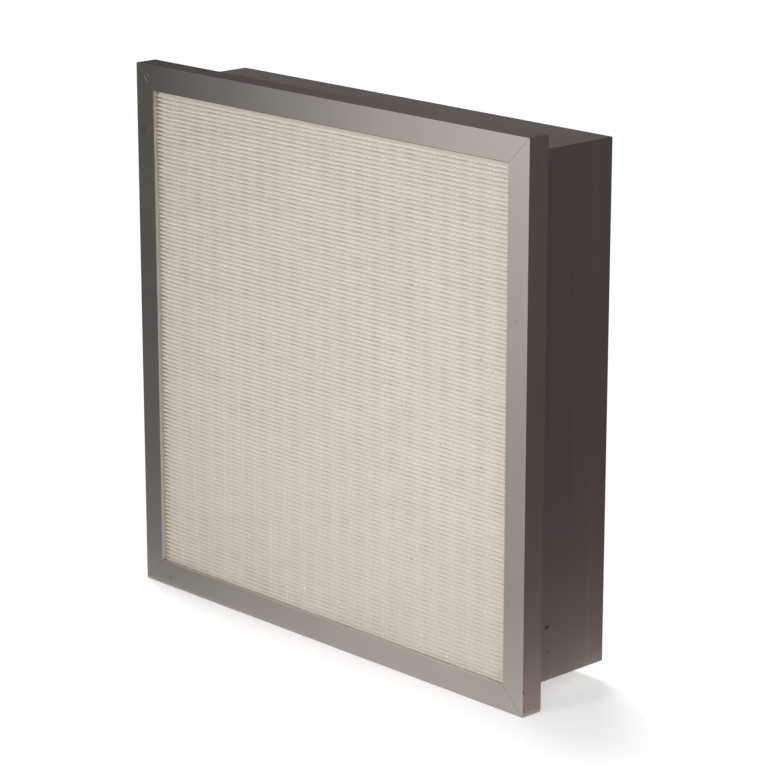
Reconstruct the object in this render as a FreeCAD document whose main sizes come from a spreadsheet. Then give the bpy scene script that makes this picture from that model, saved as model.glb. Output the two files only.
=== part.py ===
import FreeCAD
import Part
import Sketcher
import os

# Rigid air filter: a deep pleated pack in a mitred aluminium frame with a wider header at its front.
#
# Frame of the part, in millimetres: +X runs along the face to the right, +Y runs from the front face
# to the back, as the air does, and +Z is up. The origin is the middle of the bottom of the whole
# object, so the header's lower edge lies on z = 0.
#
# In the names below, inset means a distance inwards from the header's outer edge, the same on all
# four sides, and behind means a distance behind the front face.

document = FreeCAD.newDocument("rigid_air_filter")
sheet = document.addObject("Spreadsheet::Sheet", "sizes")

DRIVING_SIZES = (
    ("face_width", 592, "header across, the full-size module of ventilation ducts"),
    ("face_height", 592, "header from bottom to top"),
    ("frame_depth", 140, "front face to rear edge"),
    ("header_depth", 27, "thickness of the header from front to back"),
    ("face_border", 28, "width of the metal border round the opening"),
    ("body_step", 20, "how far the body stands in from the header on every side"),
    ("wall", 1.5, "wall of the aluminium section"),
    ("lip_depth", 5.5, "return lip at the opening, which is also how far the pleat tips lie back"),
    ("edge_break", 0.35, "small bevel on the section's outer edges"),
    ("mitre_gap", 0.3, "joint between two mitred rails"),
    ("film_recess", 0.2, "how far the sealant in a mitre lies behind the front face"),
    ("key_leg", 52, "corner key, from the header's outer corner to the end of a leg"),
    ("key_web", 3, "ribs and rims of a corner key"),
    ("key_clearance", 0.25, "play of a corner key in its chamber, on each side"),
    ("pleat_pitch", 4.61, "one pleat tip to the next"),
    ("sheet_thickness", 0.5, "filter sheet"),
    ("fold_width", 2.8, "width of a folded tip, so that both sides of a fold run nearly parallel"),
    ("media_end_gap", 1.0, "compound between the pleat ends and the wall of the frame"),
    ("bead_count", 20, "lines of hot-melt on each side of the pack"),
    ("bead_margin", 28.6, "outermost bead line to the edge of the opening"),
    ("bead_width", 1.8, "a bead line across"),
    ("bead_height", 0.6, "how far a bead line stands up from the pleat tips"),
)

for row, (alias, value, meaning) in enumerate(DRIVING_SIZES, start=1):
    sheet.set(f"A{row}", meaning)
    sheet.set(f"B{row}", str(value))
    sheet.setAlias(f"B{row}", alias)
document.recompute()

# Insets from the header's outer edge
body_outer = "sizes.body_step"
body_inner = "(sizes.body_step + sizes.wall)"
lip_inner = "sizes.face_border"
lip_outer = "(sizes.face_border - sizes.wall)"

# Distances behind the front face
plate_back = "sizes.wall"
header_back = "sizes.header_depth"
pack_front = "sizes.lip_depth"
pack_back = "(sizes.frame_depth - sizes.lip_depth)"
flange_front = "(sizes.frame_depth - sizes.wall)"
frame_back = "sizes.frame_depth"

# The pack is as many whole pleats as cover the opening, so its end panels tuck in behind the lips
pleat_count = "ceil((sizes.face_height - 2 * sizes.face_border) / sizes.pleat_pitch)"
pack_height = f"({pleat_count} * sizes.pleat_pitch)"
pack_inset = f"((sizes.face_height - {pack_height}) / 2)"
pack_depth = f"({pack_back} - {pack_front})"
valley_mouth = "(sizes.pleat_pitch / 2 - sizes.fold_width / 2)"
valley_floor = "(sizes.fold_width / 2 - sizes.sheet_thickness)"

# Places of the origin's planes and of the sides of the header
front = "(-sizes.frame_depth / 2)"
left = "(-sizes.face_width / 2)"
right = "(sizes.face_width / 2)"
bottom = "0"
top = "sizes.face_height"
middle_height = "(sizes.face_height / 2)"

finished = []


def new_body(name):
    body = document.addObject("PartDesign::Body", name)
    body.Label = name
    return body


def new_sketch(body, plane):
    sketch = body.newObject("Sketcher::SketchObject", body.Name + "_sketch")
    features = body.Origin.OriginFeatures
    support = next(feature for feature in features if feature.Role == plane)
    sketch.AttachmentSupport = [(support, "")]
    sketch.MapMode = "FlatFace"
    return sketch


def pin(sketch, edge, end, across, along):
    """Fixes one end of an edge at a place given by two expressions."""
    for kind, expression in (("DistanceX", across), ("DistanceY", along)):
        value = float(sketch.evalExpression(expression))
        index = sketch.addConstraint(Sketcher.Constraint(kind, -1, 1, edge, end, value))
        sketch.setExpression(f"Constraints[{index}]", expression)


def draw_outline(sketch, corners):
    """Draws a closed outline of straight edges, with every corner pinned to its expressions."""
    places = []
    for across, along in corners:
        x_value = float(sketch.evalExpression(across))
        y_value = float(sketch.evalExpression(along))
        places.append(FreeCAD.Vector(x_value, y_value, 0))
    first = sketch.GeometryCount
    for start, end in zip(places, places[1:] + places[:1]):
        sketch.addGeometry(Part.LineSegment(start, end), False)
    for number in range(len(corners)):
        following = (number + 1) % len(corners)
        joint = Sketcher.Constraint("Coincident", first + number, 2, first + following, 1)
        sketch.addConstraint(joint)
    for number, (across, along) in enumerate(corners):
        pin(sketch, first + number, 1, across, along)


def pad(body, sketch, length, symmetric=False, backwards=False):
    feature = body.newObject("PartDesign::Pad", body.Name + "_pad")
    feature.Profile = sketch
    if symmetric:
        feature.SideType = "Symmetric"
    feature.Reversed = backwards
    feature.setExpression("Length", length)
    body.Tip = feature
    document.recompute()
    return feature


def pocket_through(body, sketch):
    feature = body.newObject("PartDesign::Pocket", body.Name + "_pocket")
    feature.Profile = sketch
    feature.Type = "ThroughAll"
    feature.SideType = "Symmetric"
    volume_before = body.Shape.Volume
    body.Tip = feature
    document.recompute()
    if not feature.Shape.Volume < volume_before:
        raise RuntimeError(body.Name + " lost nothing to its pocket")
    return feature


def place(item, x_place, y_place, z_place, turn=0, axis=FreeCAD.Vector(0, 1, 0)):
    """Puts a piece at its place, turned in the plane of the face unless another axis is given."""
    item.Placement = FreeCAD.Placement(FreeCAD.Vector(), FreeCAD.Rotation(axis, turn))
    item.setExpression(".Placement.Base.x", x_place)
    item.setExpression(".Placement.Base.y", y_place)
    item.setExpression(".Placement.Base.z", z_place)


def keep(item):
    """Marks a piece as finished, to be written out under its label."""
    finished.append(item)
    return item


# Frame
#
# Each rail is one length of the same aluminium section. In a rail's own frame X runs along it, Y
# runs back from the front face and Z is the inset. The section has a closed chamber for the header,
# a single wall for the body, and a flange with a return lip at the front and at the back. Its outer
# edges are slightly broken, as the die leaves them.

SECTION = (
    ("0", "0"),
    ("0", lip_inner),
    (pack_front, lip_inner),
    (pack_front, lip_outer),
    (plate_back, lip_outer),
    (plate_back, body_inner),
    (flange_front, body_inner),
    (flange_front, lip_outer),
    (pack_back, lip_outer),
    (pack_back, lip_inner),
    (frame_back, lip_inner),
    (frame_back, body_outer),
    (header_back, body_outer),
    (header_back, "0"),
)

CHAMBER = (
    (plate_back, "sizes.wall"),
    (plate_back, body_outer),
    ("(sizes.header_depth - sizes.wall)", body_outer),
    ("(sizes.header_depth - sizes.wall)", "sizes.wall"),
)


BROKEN_EDGES = (
    ("0", "0"),
    ("0", lip_inner),
    (frame_back, lip_inner),
    (frame_back, body_outer),
    (header_back, "0"),
)


def break_edges(body, places):
    """Bevels the long edges that run through these places of the section."""
    section = body.Tip
    points = [[float(sheet.evalExpression(value)) for value in place] for place in places]
    names = []
    for number, edge in enumerate(section.Shape.Edges, start=1):
        middle = edge.CenterOfMass
        for behind, inset in points:
            if middle.isEqual(FreeCAD.Vector(0, behind, inset), Part.Precision.confusion()):
                names.append(f"Edge{number}")
    if len(names) != len(points):
        raise RuntimeError(body.Name + " lacks an edge to bevel")
    feature = body.newObject("PartDesign::Chamfer", body.Name + "_bevel")
    feature.Base = (section, names)
    feature.setExpression("Size", "sizes.edge_break")
    body.Tip = feature
    document.recompute()


def mitre_corners(length, side):
    """The triangle that comes off one end of a rail, on side 1 or -1."""
    end = f"({length} / 2 - sizes.mitre_gap / sqrt(2))"
    reach = "(2 * sizes.face_border)"
    return (
        (f"{side} * ({end} + {reach})", f"-{reach}"),
        (f"{side} * ({end} - {reach})", reach),
        (f"{side} * ({end} + {reach})", reach),
    )


def make_rail(name, length, x_place, z_place, turn):
    body = new_body(name)
    section = new_sketch(body, "YZ_Plane")
    draw_outline(section, SECTION)
    draw_outline(section, CHAMBER)
    pad(body, section, length, symmetric=True)
    break_edges(body, BROKEN_EDGES)
    mitres = new_sketch(body, "XZ_Plane")
    draw_outline(mitres, mitre_corners(length, 1))
    draw_outline(mitres, mitre_corners(length, -1))
    pocket_through(body, mitres)
    place(body, x_place, front, z_place, turn)
    return keep(body)


make_rail("bottom_rail", "sizes.face_width", "0", bottom, 0)
make_rail("top_rail", "sizes.face_width", "0", top, 180)
make_rail("left_rail", "sizes.face_height", left, middle_height, 90)
make_rail("right_rail", "sizes.face_height", right, middle_height, -90)

# Corners
#
# A key is a cast angle with two equal legs that slides into the header chambers of two rails and
# holds them square. It is hollowed to a rim and ribs: one window in the heel and two in each leg.
# The same four places serve the film of sealant in each mitre, which shows between the front plates.

CORNERS = (
    ("bottom_left", left, bottom, 0),
    ("top_left", left, top, 90),
    ("top_right", right, top, 180),
    ("bottom_right", right, bottom, -90),
)

key_outer = "(sizes.wall + sizes.key_clearance)"
key_inner = "(sizes.body_step - sizes.key_clearance)"
key_depth = "(sizes.header_depth - 2 * sizes.wall - 2 * sizes.key_clearance)"


window_low = f"({key_outer} + sizes.key_web)"
window_high = f"({key_inner} - sizes.key_web)"
leg_window_start = f"({key_inner} + sizes.key_web)"
leg_window_end = "(sizes.key_leg - sizes.key_web)"
leg_middle = f"(({leg_window_start} + {leg_window_end}) / 2)"

# Where each window begins and ends along a leg
HEEL_WINDOW = (window_low, window_high)
LEG_WINDOWS = (
    (leg_window_start, f"({leg_middle} - sizes.key_web / 2)"),
    (f"({leg_middle} + sizes.key_web / 2)", leg_window_end),
)


def draw_box(sketch, across, along):
    """Draws a rectangle from two pairs of limits."""
    (near, far), (low, high) = across, along
    draw_outline(sketch, ((near, low), (far, low), (far, high), (near, high)))


def make_key(corner, x_place, z_place, turn):
    body = new_body(corner + "_key")
    angle = new_sketch(body, "XZ_Plane")
    draw_outline(angle, (
        (key_outer, key_outer),
        ("sizes.key_leg", key_outer),
        ("sizes.key_leg", key_inner),
        (key_inner, key_inner),
        (key_inner, "sizes.key_leg"),
        (key_outer, "sizes.key_leg"),
    ))
    pad(body, angle, key_depth, backwards=True)
    windows = new_sketch(body, "XZ_Plane")
    draw_box(windows, HEEL_WINDOW, HEEL_WINDOW)
    for leg_window in LEG_WINDOWS:
        draw_box(windows, leg_window, HEEL_WINDOW)
        draw_box(windows, HEEL_WINDOW, leg_window)
    pocket_through(body, windows)
    place(body, x_place, f"({front} + {key_outer})", z_place, turn)
    return keep(body)


for corner in CORNERS:
    make_key(*corner)


def make_film(corner, x_place, z_place, turn):
    body = new_body("mitre_film_" + corner)
    strip = new_sketch(body, "XZ_Plane")
    half_gap = "sizes.mitre_gap / 2 / sqrt(2)"
    draw_outline(strip, (
        (f"(sizes.wall - {half_gap})", f"(sizes.wall + {half_gap})"),
        (f"(sizes.wall + {half_gap})", f"(sizes.wall - {half_gap})"),
        (f"({lip_inner} + {half_gap})", f"({lip_inner} - {half_gap})"),
        (f"({lip_inner} - {half_gap})", f"({lip_inner} + {half_gap})"),
    ))
    pad(body, strip, "(sizes.wall - sizes.film_recess)", backwards=True)
    place(body, x_place, f"({front} + sizes.film_recess)", z_place, turn)
    return body


sealant = document.addObject("Part::Compound", "mitre_sealant")
sealant.Label = "mitre_sealant"
sealant.Links = [make_film(*corner) for corner in CORNERS]
keep(sealant)

# Filter pack
#
# One sheet, folded to and fro. The sketch is the sheet over a single pleat, from the middle of one
# rear fold to the middle of the next, and the pattern repeats it up the pack.

PLEAT = (
    (pack_depth, "0"),
    (pack_depth, "sizes.fold_width / 2"),
    ("sizes.sheet_thickness", "(sizes.pleat_pitch / 2 - sizes.fold_width / 2 + sizes.sheet_thickness)"),
    ("sizes.sheet_thickness", "(sizes.pleat_pitch / 2 + sizes.fold_width / 2 - sizes.sheet_thickness)"),
    (pack_depth, "(sizes.pleat_pitch - sizes.fold_width / 2)"),
    (pack_depth, "sizes.pleat_pitch"),
    (f"({pack_depth} - sizes.sheet_thickness)", "sizes.pleat_pitch"),
    (f"({pack_depth} - sizes.sheet_thickness)", f"(sizes.pleat_pitch - {valley_floor})"),
    ("0", f"(sizes.pleat_pitch - {valley_mouth})"),
    ("0", valley_mouth),
    (f"({pack_depth} - sizes.sheet_thickness)", valley_floor),
    (f"({pack_depth} - sizes.sheet_thickness)", "0"),
)

media = new_body("pleated_media")
pleat_sketch = new_sketch(media, "YZ_Plane")
draw_outline(pleat_sketch, PLEAT)
pleat = pad(media, pleat_sketch, f"(sizes.face_width - 2 * ({body_inner} + sizes.media_end_gap))",
            symmetric=True)
stack = media.newObject("PartDesign::LinearPattern", "pleats")
stack.Originals = [pleat]
stack.Direction = (pleat_sketch, ["V_Axis"])
stack.setExpression("Length", f"{pack_height} - sizes.pleat_pitch")
stack.setExpression("Occurrences", pleat_count)
media.Tip = stack
document.recompute()
place(media, "0", f"({front} + {pack_front})", pack_inset)
keep(media)

# Potting
#
# The pack is bedded in polyurethane on all four sides. The compound above and below it fills the
# channel of the rail and follows the pack's end panel. At the left and right it takes in the ends of
# the pleats and stands in every valley as far as the edge of the opening.

PANEL_BED = (
    (plate_back, body_inner),
    (plate_back, lip_outer),
    (pack_front, lip_outer),
    (pack_front, f"({pack_inset} + {valley_mouth})"),
    (f"({pack_back} - sizes.sheet_thickness)", f"({pack_inset} + {valley_floor})"),
    (f"({pack_back} - sizes.sheet_thickness)", pack_inset),
    (pack_back, pack_inset),
    (pack_back, lip_outer),
    (flange_front, lip_outer),
    (flange_front, body_inner),
)

END_BED = (
    (body_inner, plate_back),
    (lip_outer, plate_back),
    (lip_outer, pack_front),
    (lip_inner, pack_front),
    (lip_inner, pack_back),
    (lip_outer, pack_back),
    (lip_outer, flange_front),
    (body_inner, flange_front),
)


def make_panel_bed(name, z_place, turn):
    body = new_body(name)
    section = new_sketch(body, "YZ_Plane")
    draw_outline(section, PANEL_BED)
    pad(body, section, f"(sizes.face_width - 2 * {body_inner})", symmetric=True)
    place(body, "0", front, z_place, turn)
    return keep(body)


panel_beds = document.addObject("Part::Compound", "panel_beds")
panel_beds.Links = [
    make_panel_bed("bottom_potting", bottom, 0),
    make_panel_bed("top_potting", top, 180),
]


def make_end_bed(name, x_place, z_place, turn):
    block = new_body(name + "_block")
    section = new_sketch(block, "XY_Plane")
    draw_outline(section, END_BED)
    pad(block, section, f"(sizes.face_height - 2 * {body_inner})")
    place(block, x_place, front, z_place, turn)
    between_beds = document.addObject("Part::Cut", name + "_between_beds")
    between_beds.Base = block
    between_beds.Tool = panel_beds
    slotted = document.addObject("Part::Cut", name)
    slotted.Label = name
    slotted.Base = between_beds
    slotted.Tool = media
    return keep(slotted)


make_end_bed("left_potting", left, body_inner, 0)
make_end_bed("right_potting", right, f"(sizes.face_height - {body_inner})", 180)

# Separator beads
#
# Lines of hot-melt hold the pleats apart. Each line crosses the pleat tips of one side of the pack,
# and shows from the lip of the bottom rail to the lip of the top rail.

bead_row = f"(sizes.face_width - 2 * {lip_inner} - 2 * sizes.bead_margin)"
bead_spacing = f"({bead_row} / (sizes.bead_count - 1))"

# A low crown on a flat base: the base lies on the pleat tips
BEAD_SECTION = (
    ("-sizes.bead_width / 2", "0"),
    ("sizes.bead_width / 2", "0"),
    ("sizes.bead_width / 4", "-sizes.bead_height"),
    ("-sizes.bead_width / 4", "-sizes.bead_height"),
)


def make_bead(name, number, y_place, turn):
    body = new_body(name)
    section = new_sketch(body, "XY_Plane")
    draw_outline(section, BEAD_SECTION)
    pad(body, section, f"(sizes.face_height - 2 * {lip_inner})")
    x_place = f"({left} + {lip_inner} + sizes.bead_margin + {number} * {bead_spacing})"
    place(body, x_place, y_place, lip_inner, turn, FreeCAD.Vector(0, 0, 1))
    return keep(body)


for number in range(int(sheet.bead_count)):
    make_bead(f"front_bead_{number + 1:02d}", number, f"({front} + {pack_front})", 0)
    make_bead(f"rear_bead_{number + 1:02d}", number, f"({front} + {pack_back})", 180)

# Check and write
document.recompute()
for item in document.Objects:
    if "Invalid" in item.State or "Error" in item.State:
        raise RuntimeError(item.Name + " did not build: " + str(item.State))

os.makedirs("parts", exist_ok=True)
for item in finished:
    if item.Shape.isNull() or not item.Shape.isValid():
        raise RuntimeError(item.Label + " has no valid shape")
    item.Shape.exportStep(f"parts/{item.Label}.step")
    box = item.Shape.BoundBox
    print(item.Label, len(item.Shape.Solids), round(item.Shape.Volume, 3),
          [round(edge, 3) for edge in (box.XMin, box.YMin, box.ZMin, box.XMax, box.YMax, box.ZMax)])
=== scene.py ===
# %% [markdown]
# # Rigid air filter
# A ventilation filter with a deep pack: one long sheet of filter paper, folded to and fro, bedded in
# polyurethane and held in an aluminium frame. The frame is four lengths of one drawn section, mitred
# at the corners, with a wider header at the front that clamps against its seat in a filter wall.
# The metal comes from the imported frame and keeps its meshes. What is soft or fine is modelled here:
# the paper with its rounded folds, the hot-melt that keeps the folds apart, and traces of handwork.

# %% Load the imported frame
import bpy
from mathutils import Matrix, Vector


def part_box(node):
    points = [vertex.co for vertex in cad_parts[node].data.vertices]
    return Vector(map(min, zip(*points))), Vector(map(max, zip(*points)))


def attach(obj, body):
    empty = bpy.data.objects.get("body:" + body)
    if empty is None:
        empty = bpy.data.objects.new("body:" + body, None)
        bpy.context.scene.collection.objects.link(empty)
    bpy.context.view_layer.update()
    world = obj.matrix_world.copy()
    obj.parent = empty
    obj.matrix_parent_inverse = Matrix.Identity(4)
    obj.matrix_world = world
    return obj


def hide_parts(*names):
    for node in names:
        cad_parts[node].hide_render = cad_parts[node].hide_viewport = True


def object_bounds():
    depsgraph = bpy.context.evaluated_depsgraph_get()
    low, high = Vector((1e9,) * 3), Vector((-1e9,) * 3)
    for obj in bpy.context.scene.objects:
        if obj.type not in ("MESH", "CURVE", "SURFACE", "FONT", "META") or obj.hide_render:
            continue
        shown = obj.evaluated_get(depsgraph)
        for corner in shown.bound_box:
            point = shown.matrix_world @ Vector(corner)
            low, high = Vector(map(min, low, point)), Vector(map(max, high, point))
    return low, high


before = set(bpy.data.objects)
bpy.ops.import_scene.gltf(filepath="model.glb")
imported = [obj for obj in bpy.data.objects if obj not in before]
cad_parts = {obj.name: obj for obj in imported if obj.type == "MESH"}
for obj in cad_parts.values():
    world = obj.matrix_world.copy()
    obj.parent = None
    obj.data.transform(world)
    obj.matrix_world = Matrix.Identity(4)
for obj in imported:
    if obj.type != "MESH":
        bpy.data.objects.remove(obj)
cad_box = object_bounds()
print(len(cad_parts), "nodes between", cad_box[0][:], "and", cad_box[1][:])

# %% Modules
import math
import random

import bmesh
import bpy
from mathutils import Matrix, Vector, noise

# %% [markdown]
# ## Measures
# Everything is in metres in the frame of the part: X to the right along the face, Y from the front
# to the back, Z up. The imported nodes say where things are, so the new pieces take their places from
# them. Only what no node shows, such as the radius of a fold, gets a value of its own.

# %% Measures taken from the frame
MM = 0.001
pack_low, pack_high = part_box("pleated_media")
left_bed_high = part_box("left_potting")[1]
right_bed_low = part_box("right_potting")[0]
first_bead_low, first_bead_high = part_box("front_bead_01")
bead_names = sorted(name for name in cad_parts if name.startswith("front_bead_"))
bead_places = [sum(corner.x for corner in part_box(name)) / 2 for name in bead_names]
front_face = cad_box[0].y
back_face = cad_box[1].y
pack_front, pack_back = pack_low.y, pack_high.y
print("pack", pack_low[:], pack_high[:])
print(len(bead_places), "bead lines,", (bead_places[1] - bead_places[0]) / MM, "mm apart")

# %% [markdown]
# ## The camera
# A photographer stands to the right of the filter and looks a little down on it, from far enough
# away that the sides nearly keep their shape. The lens was found by fitting the corners of the frame.
# The sensor isn't shifted, so that the other views stay centred.

# %% Make the camera
IMAGE_SIDE = 768
FOCAL_LENGTH = 3095.82
SENSOR_WIDTH = 36
CAMERA_PLACE = (2.3051, -2.1732, 1.1614)
LOOKS_DOWN = 15.6265
LOOKS_LEFT = 46.4245

camera = bpy.data.objects.new("camera", bpy.data.cameras.new("camera"))
bpy.context.scene.collection.objects.link(camera)
camera.data.sensor_width = SENSOR_WIDTH
camera.data.lens = FOCAL_LENGTH * SENSOR_WIDTH / IMAGE_SIDE
camera.location = CAMERA_PLACE
camera.rotation_euler = (math.radians(90 - LOOKS_DOWN), 0, math.radians(LOOKS_LEFT))
bpy.context.scene.camera = camera
print("lens", round(camera.data.lens, 2), "mm")

# %% [markdown]
# ## Helpers for the finishes
# A finish is a tree of shader nodes. One helper adds a node and joins or fills its inputs, another
# turns a colour as a painter reads it (0 to 255) into the linear value that a shader wants. Patterns
# read Object coordinates: every piece has its object at the origin, so they are the part's metres.


# %% Node helpers
def add(tree, kind, inputs=None, **properties):
    """Adds a node. An input that is given a socket is linked, and any other value is filled in."""
    made = tree.nodes.new(kind)
    for name, value in properties.items():
        setattr(made, name, value)
    for name, value in (inputs or {}).items():
        if isinstance(value, bpy.types.NodeSocket):
            tree.links.new(value, made.inputs[name])
        else:
            made.inputs[name].default_value = value
    return made


def paint(red, green, blue):
    """The linear colour of a paint that is read on a screen as these values."""
    def linear(value):
        share = value / 255
        return share / 12.92 if share <= 0.04045 else ((share + 0.055) / 1.055) ** 2.4
    return (linear(red), linear(green), linear(blue), 1)


def new_finish(name, **settings):
    """A material with a Principled shader. Returns the material, its tree and the shader."""
    finish = bpy.data.materials.new(name)
    finish.use_nodes = True
    tree = finish.node_tree
    shader = tree.nodes["Principled BSDF"]
    for title, value in settings.items():
        shader.inputs[title.replace("_", " ")].default_value = value
    return finish, tree, shader


print("white paint is", paint(255, 255, 255))


# %% Pattern helpers
def object_place(tree):
    return add(tree, "ShaderNodeTexCoord").outputs["Object"]


def axis(tree, place, letter):
    """One coordinate of a place."""
    return add(tree, "ShaderNodeSeparateXYZ", {"Vector": place}).outputs[letter]


def times(tree, first, second):
    return add(tree, "ShaderNodeMath", {0: first, 1: second}, operation="MULTIPLY").outputs["Value"]


def grain(tree, place, scale, detail=2, roughness=0.5):
    """Noise from 0 to 1. The scale is in cells for each metre, one number for each axis."""
    stretched = add(tree, "ShaderNodeMapping", {"Vector": place, "Scale": scale})
    cells = {"Vector": stretched.outputs["Vector"], "Scale": 1, "Detail": detail, "Roughness": roughness}
    return add(tree, "ShaderNodeTexNoise", cells).outputs["Fac"]


def ranged(tree, value, low, high, new_low=0, new_high=1, smooth=True):
    """Takes a value from one range to another and stops at its ends."""
    kind = "SMOOTHSTEP" if smooth else "LINEAR"
    ends = {"Value": value, "From Min": low, "From Max": high, "To Min": new_low, "To Max": new_high}
    return add(tree, "ShaderNodeMapRange", ends, interpolation_type=kind).outputs["Result"]


def graded(tree, value, low, high, stops):
    """A tone that follows a value: each stop is a value between low and high, with its tone."""
    share = ranged(tree, value, low, high, smooth=False)
    ramp = add(tree, "ShaderNodeValToRGB", {"Fac": share})
    made = ramp.color_ramp.elements
    while len(made) < len(stops):
        made.new(0.5)
    for stop, (place, tone) in zip(made, stops):
        stop.position = (place - low) / (high - low)
        stop.color = (tone, tone, tone, 1)
    return ramp.outputs["Color"]


def mixed(tree, share, first, second):
    """A colour between two colours."""
    node = add(tree, "ShaderNodeMix", data_type="RGBA")
    for name, value in (("Factor", share), ("A", first), ("B", second)):
        socket = next(s for s in node.inputs if s.name == name and s.type != "VECTOR" and s.enabled)
        if isinstance(value, bpy.types.NodeSocket):
            tree.links.new(value, socket)
        else:
            socket.default_value = value
    return next(s for s in node.outputs if s.enabled)


def height_to_normal(tree, height, depth):
    """Turns a pattern into relief of a real depth."""
    relief = {"Height": height, "Distance": depth, "Strength": 1}
    return add(tree, "ShaderNodeBump", relief).outputs["Normal"]


# Most of a noise lies in the first span, and the narrower one gives it clearer patches
NOISE_SPAN = (0.3, 0.7)
PATCH_SPAN = (0.35, 0.65)
print("helpers ready")

# %% [markdown]
# ## Anodised aluminium
# The section is drawn through a die, which leaves faint lines along every rail, and is then etched
# and anodised to a warm satin grey. A metal has no colour of its own apart from what it mirrors, so
# the finish is a metallic shader with a middling roughness, and the detail is in small changes of
# tone and roughness: fine die lines, a slow cloudiness from the bath, and broad lighter and darker
# bands across the body. The small bevels are painted lighter, a painted highlight.
# Each rail has a grain along its own length, so there is one finish for each rail.

# %% Tones of the metal
METAL_DARK = paint(170, 162, 154)
METAL_LIGHT = paint(182, 175, 166)
# The tone of bright chips and scratches, also used as a painted highlight on the bevels and the bottom lip
METAL_HIGHLIGHT_AND_CHIPS = paint(212, 206, 198)
# The tone of real stains, also used as painted shade along the lower edge of the top rail
METAL_STAIN_AND_SHADE = paint(92, 86, 80)
METAL_LIP_HIGHLIGHT = paint(226, 230, 230)
METAL_ROUGHNESS = (0.36, 0.44)
LINE_DEPTH = 0.01 * MM
# Cells of a pattern in each metre: along the die lines, across them, and of the cloudiness
ALONG_LENGTH = 5
ACROSS_FINE = 420
CLOUDS = (14, 14, 14)
# How much the lines count beside the cloudiness, and the bands beside both
LINE_SHARE = 0.35
BAND_SHARE = 0.5
# Of the tone that comes out, where the metal is at its darkest and its lightest
TONE_SPAN = (0.2, 0.8)

# Bands on the rails: the depth in the part, in millimetres, and how bright the metal is there
DEPTH_BANDS = ((-70, 0.5), (-44, 0.5), (-43, 0.45), (11, 0.5), (15, 0.25), (18, 0.55), (42, 0.6),
             (45, 0.95), (50, 0.95), (52, 0.6), (70, 0.7))
print(len(DEPTH_BANDS), "stops of tone from the front face to the back")


# %% Patterns of the drawn section
# The parts of a normal add up to 1 on a wall and to about 1.4 on a bevel
EDGE_SLANT = (1.1, 1.3)


def depth_bands(tree, place):
    """Tone that changes with the depth in the part, the same on all four rails."""
    stops = [(depth_mm * MM, tone) for depth_mm, tone in DEPTH_BANDS]
    return graded(tree, axis(tree, place, "Y"), front_face, back_face, stops)


# The bevels get a lighter tone in the finish of each rail: a painted highlight
def painted_bevel_highlight(tree):
    """1 on the small bevels, which lie at a slant, and 0 on the walls of the section."""
    normal = add(tree, "ShaderNodeTexCoord").outputs["Normal"]
    sizes = add(tree, "ShaderNodeVectorMath", {0: normal}, operation="ABSOLUTE").outputs["Vector"]
    total = add(tree, "ShaderNodeVectorMath", {0: sizes, 1: (1, 1, 1)}, operation="DOT_PRODUCT")
    return ranged(tree, total.outputs["Value"], *EDGE_SLANT)


print("bevels count as polished from", EDGE_SLANT)

# %% Inner edges of the rails
# Where each begins and is full, along X for the lip and along Z for the other two
LIP_HIGHLIGHT_SPAN = (-268.6 * MM, -268.2 * MM)
SILL_HIGHLIGHT_SPAN = (27.6 * MM, 27.9 * MM)
EDGE_SHADE_SPAN = (565.0 * MM, 564.2 * MM)
EDGE_SHADE_SHARE = 0.8


def painted_lip_highlight(tree, place):
    """1 on the inner face of the left lip, which is painted lighter as a painted highlight, and 0
    elsewhere.
    """
    return ranged(tree, axis(tree, place, "X"), *LIP_HIGHLIGHT_SPAN)


def painted_sill_highlight(tree, place):
    """1 on the upper side of the bottom rail's lip, which is painted lighter as a painted highlight, and 0
    elsewhere.
    """
    return ranged(tree, axis(tree, place, "Z"), *SILL_HIGHLIGHT_SPAN)


def painted_edge_shade(tree, place):
    """Painted shade on the lowest millimetre of the top rail, in the corner over the paper, and 0
    elsewhere.
    """
    return ranged(tree, axis(tree, place, "Z"), *EDGE_SHADE_SPAN, 0, EDGE_SHADE_SHARE)


print("inner edges at", LIP_HIGHLIGHT_SPAN[1], SILL_HIGHLIGHT_SPAN[1], EDGE_SHADE_SPAN[1])

# %% [markdown]
# Marks of use are part of the object: a few dark stains on the rails, as after drops of flux or
# glue, small chips beside the mitres where the saw came out, and a scratch or two. Each is given by
# its place on the rail in millimetres, its size along X, Y and Z, and how strong it is. A dark mark
# has a strength above 0, and a bright one below.

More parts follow.
